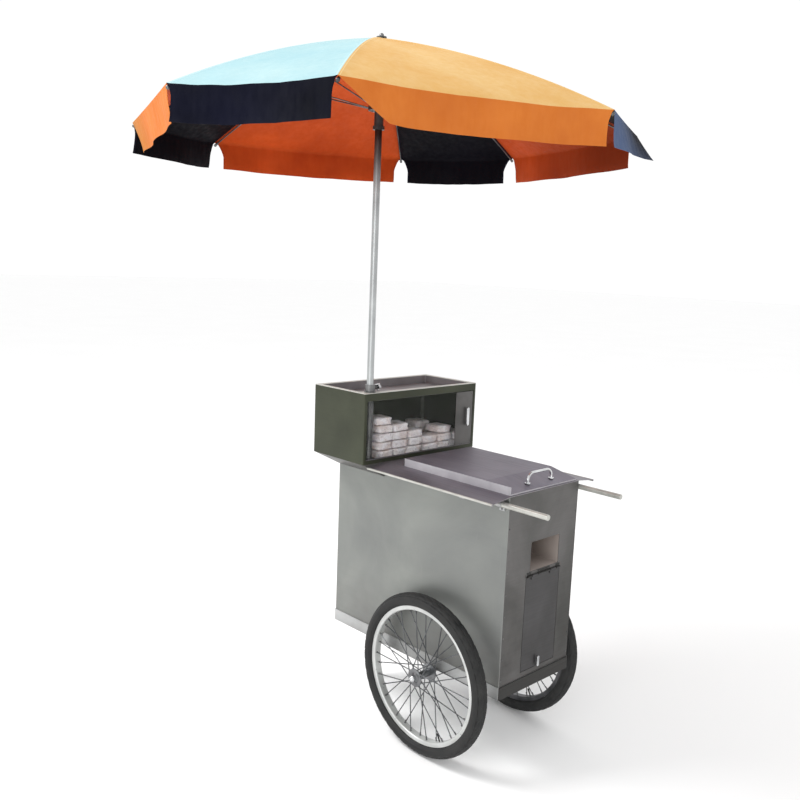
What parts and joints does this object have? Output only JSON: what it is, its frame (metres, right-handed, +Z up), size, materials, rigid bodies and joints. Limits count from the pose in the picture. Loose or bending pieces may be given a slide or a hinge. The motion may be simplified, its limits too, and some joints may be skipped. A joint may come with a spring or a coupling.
{
  "type": "push vending cart",
  "caption": "Two-wheeled stainless push vending cart with a hinged lid, a glazed display box with sliding doors, a prop leg and a folding umbrella.",
  "frame": {"origin": "on the floor under the axis of the umbrella pole", "axes": "+Z up, +X towards the operator's push handles, -Y towards the cart's near side where the pole stands"},
  "size_m": [1.97, 1.97, 2.819],
  "materials": {
    "skin_steel": "brushed",
    "deck_steel": "polished",
    "lid_steel": "polished",
    "dark_steel": "satin",
    "frame_steel": "satin",
    "pan_steel": "satin",
    "chrome": "polished",
    "tyre_rubber": "matte",
    "clear_pane": "clear",
    "wrapped_buns": "wrinkled film",
    "pole_metal": "satin",
    "rib_steel": "satin",
    "knob_plastic": "matte",
    "canopy_cloth": "woven",
    "gas_paint": "gloss",
    "pipe_copper": "satin",
    "burner_iron": "rough"
  },
  "bodies": {
    "cart": {"base_frame": "frame_steel", "body_shell": "skin_steel", "rear_panel": "dark_steel", "cubby_liner": "dark_steel", "deck": "deck_steel", "riser": "dark_steel", "water_pan": "pan_steel", "food_pans": "pan_steel", "burner": "burner_iron", "gas_cylinder": "gas_paint", "gas_pipe": "pipe_copper", "push_handles": "chrome", "handle_brackets": "frame_steel", "door_hinge": "chrome", "box_shell": "dark_steel", "top_tray": "deck_steel", "door_tracks": "frame_steel", "wrapped_stock": "wrapped_buns", "umbrella_socket": "frame_steel", "axle": "chrome", "axle_saddles": "frame_steel", "axle_nuts": "chrome"},
    "wheel_near": {"tyre_near": "tyre_rubber", "rim_near": "chrome", "spokes_near": "chrome", "hub_near": "chrome"},
    "wheel_far": {"tyre_far": "tyre_rubber", "rim_far": "chrome", "spokes_far": "chrome", "hub_far": "chrome"},
    "lid": {"lid": "lid_steel", "lid_handle": "chrome"},
    "gas_knob": {"gas_knob": "knob_plastic"},
    "rear_door": {"rear_door": "dark_steel"},
    "door_latch": {"door_latch": "chrome"},
    "box_door_outer": {"door_outer": "clear_pane", "door_pull": "chrome"},
    "box_door_inner": {"door_inner": "clear_pane"},
    "clamp_screw": {"clamp_screw": "knob_plastic"},
    "prop_leg": {"prop_leg": "frame_steel"},
    "umbrella": {"pole": "pole_metal", "crown": "pole_metal", "canopy": "canopy_cloth"},
    "runner": {"runner": "knob_plastic"},
    "rib_1": {"rib_1": "rib_steel"},
    "stretcher_1": {"stretcher_1": "rib_steel"},
    "rib_2": {"rib_2": "rib_steel"},
    "stretcher_2": {"stretcher_2": "rib_steel"},
    "rib_3": {"rib_3": "rib_steel"},
    "stretcher_3": {"stretcher_3": "rib_steel"},
    "rib_4": {"rib_4": "rib_steel"},
    "stretcher_4": {"stretcher_4": "rib_steel"},
    "rib_5": {"rib_5": "rib_steel"},
    "stretcher_5": {"stretcher_5": "rib_steel"},
    "rib_6": {"rib_6": "rib_steel"},
    "stretcher_6": {"stretcher_6": "rib_steel"},
    "rib_7": {"rib_7": "rib_steel"},
    "stretcher_7": {"stretcher_7": "rib_steel"},
    "rib_8": {"rib_8": "rib_steel"},
    "stretcher_8": {"stretcher_8": "rib_steel"}
  },
  "joints": [
    {"name": "wheel_near_spin", "type": "hinge", "parent": "cart", "child": "wheel_near", "pos_m": [0.372, -0.0025, 0.33], "axis": [0, 1, 0], "continuous": true},
    {"name": "wheel_far_spin", "type": "hinge", "parent": "cart", "child": "wheel_far", "pos_m": [0.372, 0.5725, 0.33], "axis": [0, 1, 0], "continuous": true},
    {"name": "lid_hinge", "type": "hinge", "parent": "cart", "child": "lid", "pos_m": [0.131, 0.285, 1.1315], "axis": [0, -1, 0], "range_deg": [0, 95]},
    {"name": "gas_knob_turn", "type": "hinge", "parent": "cart", "child": "gas_knob", "pos_m": [0.66, 0.385, 0.708], "axis": [1, 0, 0], "range_deg": [0, 90]},
    {"name": "rear_door_hinge", "type": "hinge", "parent": "cart", "child": "rear_door", "pos_m": [0.7085, 0.301, 0.791], "axis": [0, -1, 0], "range_deg": [0, 105]},
    {"name": "door_latch_turn", "type": "hinge", "parent": "rear_door", "child": "door_latch", "pos_m": [0.702, 0.289, 0.43], "axis": [-1, 0, 0], "range_deg": [0, 90]},
    {"name": "box_door_outer_slide", "type": "slide", "parent": "cart", "child": "box_door_outer", "axis": [0, -1, 0], "range_m": [0, 0.3]},
    {"name": "box_door_inner_slide", "type": "slide", "parent": "cart", "child": "box_door_inner", "axis": [0, 1, 0], "range_m": [0, 0.3]},
    {"name": "clamp_screw_turn", "type": "hinge", "parent": "cart", "child": "clamp_screw", "pos_m": [0, 0.03, 1.44], "axis": [0, 1, 0], "range_deg": [0, 540]},
    {"name": "prop_leg_fold", "type": "hinge", "parent": "cart", "child": "prop_leg", "pos_m": [-0.218, 0.285, 0.314], "axis": [0, -1, 0], "range_deg": [0, 90]},
    {"name": "pole_lift", "type": "slide", "parent": "cart", "child": "umbrella", "axis": [0, 0, 1], "range_m": [0, 0.2]},
    {"name": "umbrella_fold", "type": "slide", "parent": "umbrella", "child": "runner", "axis": [0, 0, -1], "range_m": [0, 0.6845], "deforming": ["canopy"]},
    {"name": "rib_1_fold", "type": "hinge", "parent": "umbrella", "child": "rib_1", "pos_m": [-0.02705, -0.02376, 2.768], "axis": [0.66, -0.7513, 0], "range_deg": [0, 62]},
    {"name": "stretcher_1_fold", "type": "hinge", "parent": "rib_1", "child": "stretcher_1", "pos_m": [-0.36996, -0.32501, 2.65351], "axis": [0.66, -0.7513, 0], "range_deg": [-124, 0]},
    {"name": "rib_2_fold", "type": "hinge", "parent": "umbrella", "child": "rib_2", "pos_m": [0.00474, -0.03569, 2.768], "axis": [0.9913, 0.1316, 0], "range_deg": [0, 62]},
    {"name": "stretcher_2_fold", "type": "hinge", "parent": "rib_2", "child": "stretcher_2", "pos_m": [0.06479, -0.48816, 2.65351], "axis": [0.9913, 0.1316, 0], "range_deg": [-124, 0]},
    {"name": "rib_3_fold", "type": "hinge", "parent": "umbrella", "child": "rib_3", "pos_m": [0.02376, -0.02705, 2.768], "axis": [0.7513, 0.66, 0], "range_deg": [0, 62]},
    {"name": "stretcher_3_fold", "type": "hinge", "parent": "rib_3", "child": "stretcher_3", "pos_m": [0.32501, -0.36996, 2.65351], "axis": [0.7513, 0.66, 0], "range_deg": [-124, 0]},
    {"name": "rib_4_fold", "type": "hinge", "parent": "umbrella", "child": "rib_4", "pos_m": [0.03569, 0.00474, 2.768], "axis": [-0.1316, 0.9913, 0], "range_deg": [0, 62]},
    {"name": "stretcher_4_fold", "type": "hinge", "parent": "rib_4", "child": "stretcher_4", "pos_m": [0.48816, 0.06479, 2.65351], "axis": [-0.1316, 0.9913, 0], "range_deg": [-124, 0]},
    {"name": "rib_5_fold", "type": "hinge", "parent": "umbrella", "child": "rib_5", "pos_m": [0.02705, 0.02376, 2.768], "axis": [-0.66, 0.7513, 0], "range_deg": [0, 62]},
    {"name": "stretcher_5_fold", "type": "hinge", "parent": "rib_5", "child": "stretcher_5", "pos_m": [0.36996, 0.32501, 2.65351], "axis": [-0.66, 0.7513, 0], "range_deg": [-124, 0]},
    {"name": "rib_6_fold", "type": "hinge", "parent": "umbrella", "child": "rib_6", "pos_m": [-0.00474, 0.03569, 2.768], "axis": [-0.9913, -0.1316, 0], "range_deg": [0, 62]},
    {"name": "stretcher_6_fold", "type": "hinge", "parent": "rib_6", "child": "stretcher_6", "pos_m": [-0.06479, 0.48816, 2.65351], "axis": [-0.9913, -0.1316, 0], "range_deg": [-124, 0]},
    {"name": "rib_7_fold", "type": "hinge", "parent": "umbrella", "child": "rib_7", "pos_m": [-0.02376, 0.02705, 2.768], "axis": [-0.7513, -0.66, 0], "range_deg": [0, 62]},
    {"name": "stretcher_7_fold", "type": "hinge", "parent": "rib_7", "child": "stretcher_7", "pos_m": [-0.32501, 0.36996, 2.65351], "axis": [-0.7513, -0.66, 0], "range_deg": [-124, 0]},
    {"name": "rib_8_fold", "type": "hinge", "parent": "umbrella", "child": "rib_8", "pos_m": [-0.03569, -0.00474, 2.768], "axis": [0.1316, -0.9913, 0], "range_deg": [0, 62]},
    {"name": "stretcher_8_fold", "type": "hinge", "parent": "rib_8", "child": "stretcher_8", "pos_m": [-0.48816, -0.06479, 2.65351], "axis": [0.1316, -0.9913, 0], "range_deg": [-124, 0]}
  ],
  "couplings": [
    {"joint": "rib_1_fold", "follows": "umbrella_fold", "rad_per_m": 1.5809},
    {"joint": "stretcher_1_fold", "follows": "umbrella_fold", "rad_per_m": -3.1617},
    {"joint": "rib_2_fold", "follows": "umbrella_fold", "rad_per_m": 1.5809},
    {"joint": "stretcher_2_fold", "follows": "umbrella_fold", "rad_per_m": -3.1617},
    {"joint": "rib_3_fold", "follows": "umbrella_fold", "rad_per_m": 1.5809},
    {"joint": "stretcher_3_fold", "follows": "umbrella_fold", "rad_per_m": -3.1617},
    {"joint": "rib_4_fold", "follows": "umbrella_fold", "rad_per_m": 1.5809},
    {"joint": "stretcher_4_fold", "follows": "umbrella_fold", "rad_per_m": -3.1617},
    {"joint": "rib_5_fold", "follows": "umbrella_fold", "rad_per_m": 1.5809},
    {"joint": "stretcher_5_fold", "follows": "umbrella_fold", "rad_per_m": -3.1617},
    {"joint": "rib_6_fold", "follows": "umbrella_fold", "rad_per_m": 1.5809},
    {"joint": "stretcher_6_fold", "follows": "umbrella_fold", "rad_per_m": -3.1617},
    {"joint": "rib_7_fold", "follows": "umbrella_fold", "rad_per_m": 1.5809},
    {"joint": "stretcher_7_fold", "follows": "umbrella_fold", "rad_per_m": -3.1617},
    {"joint": "rib_8_fold", "follows": "umbrella_fold", "rad_per_m": 1.5809},
    {"joint": "stretcher_8_fold", "follows": "umbrella_fold", "rad_per_m": -3.1617}
  ]
}
